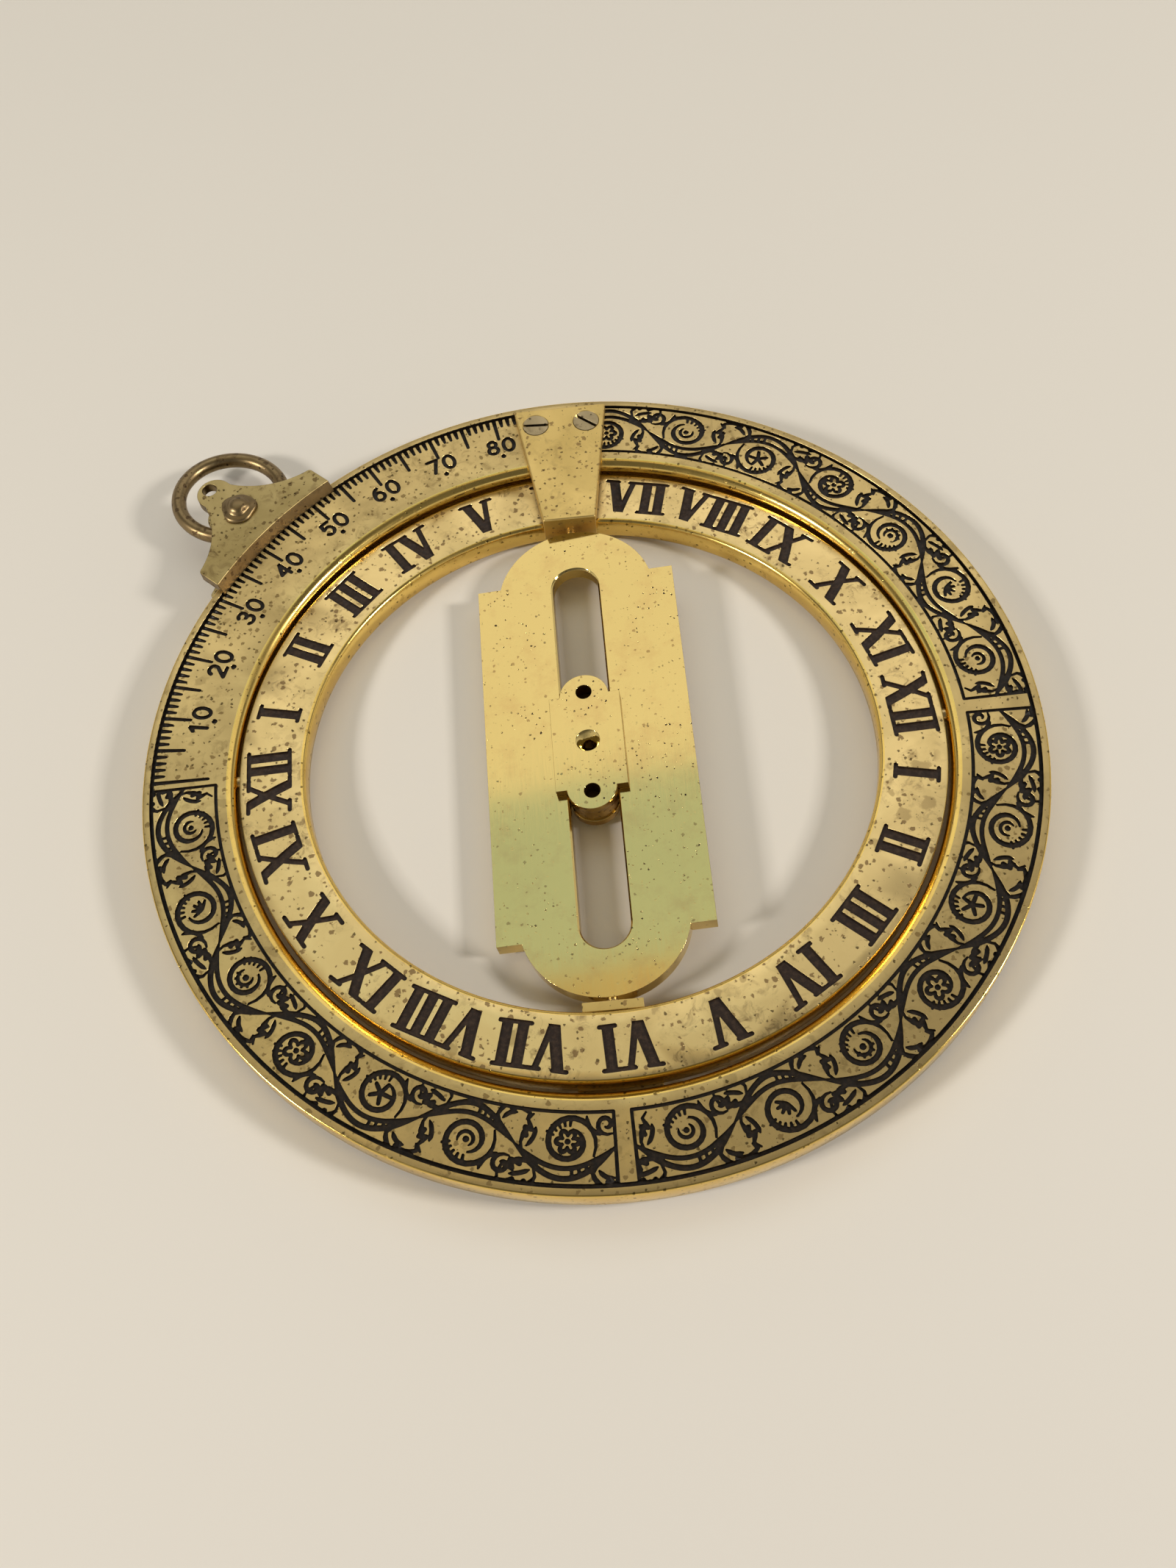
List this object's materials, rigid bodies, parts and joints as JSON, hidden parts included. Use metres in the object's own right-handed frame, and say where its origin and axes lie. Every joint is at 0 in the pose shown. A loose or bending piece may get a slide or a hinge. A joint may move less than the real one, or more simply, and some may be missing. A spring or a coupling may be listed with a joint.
{
  "type": "universal ring sundial",
  "caption": "Folding universal ring dial: meridian ring, hinged hour ring, and a slotted bridge on the polar axis with a sliding pinhole cursor, hung from a sliding shackle.",
  "frame": {"origin": "centre of both rings, on the polar axis, in the meridian ring's middle plane, where the pinhole lies with the cursor at mid travel", "axes": "+Z out of the engraved front face, +Y along the polar axis towards the front tab and the 90 degree latitude mark, +X to the right along the hour ring's hinge line"},
  "size_m": [0.105, 0.105, 0.0077],
  "materials": {
    "aged_brass": "aged satin, with brown blotches and black-filled engraving",
    "polished_brass": "bright lapped, with fine dark pits",
    "screw_brass": "dull, turned",
    "dark_brass": "dark bronzed, rubbed bright on the high spots"
  },
  "bodies": {
    "meridian": {"meridian_ring": "aged_brass", "front_pole_tab": "aged_brass", "rear_pole_tab": "aged_brass", "front_tab_screw_left": "screw_brass", "front_tab_screw_right": "screw_brass", "rear_tab_screw_left": "screw_brass", "rear_tab_screw_right": "screw_brass", "west_hour_pin": "aged_brass", "east_hour_pin": "aged_brass", "north_polar_pin": "polished_brass", "south_polar_pin": "polished_brass"},
    "hour_ring": {"hour_ring": "aged_brass"},
    "bridge": {"bridge": "polished_brass"},
    "cursor": {"cursor_front_plate": "polished_brass", "cursor_back_plate": "polished_brass", "cursor_screw_upper": "screw_brass", "cursor_screw_lower": "screw_brass"},
    "shackle": {"shackle_front": "dark_brass", "shackle_rear": "dark_brass"},
    "rivet": {"shackle_rivet": "dark_brass"},
    "suspension_ring": {"suspension_ring": "dark_brass"}
  },
  "joints": [
    {"name": "hour_ring_fold", "type": "hinge", "parent": "meridian", "child": "hour_ring", "pos_m": [0, 0, 0], "axis": [1, 0, 0], "range_deg": [-87.8, 2.2]},
    {"name": "bridge_turn", "type": "hinge", "parent": "meridian", "child": "bridge", "pos_m": [0, 0, 0], "axis": [0, 1, 0], "continuous": true},
    {"name": "cursor_slide", "type": "slide", "parent": "bridge", "child": "cursor", "axis": [0, 1, 0], "range_m": [-0.0165, 0.0165]},
    {"name": "shackle_slide", "type": "hinge", "parent": "meridian", "child": "shackle", "pos_m": [0, 0, 0], "axis": [0, 0, 1], "continuous": true},
    {"name": "suspension_swing", "type": "hinge", "parent": "shackle", "child": "rivet", "pos_m": [-0.0421, 0.03858, 0], "axis": [0, 0, 1], "range_deg": [-11, 22]},
    {"name": "suspension_tilt", "type": "hinge", "parent": "rivet", "child": "suspension_ring", "pos_m": [-0.04138, 0.03692, 0.0003], "axis": [-0.9171, -0.3987, 0], "range_deg": [-1, 3.5]}
  ]
}
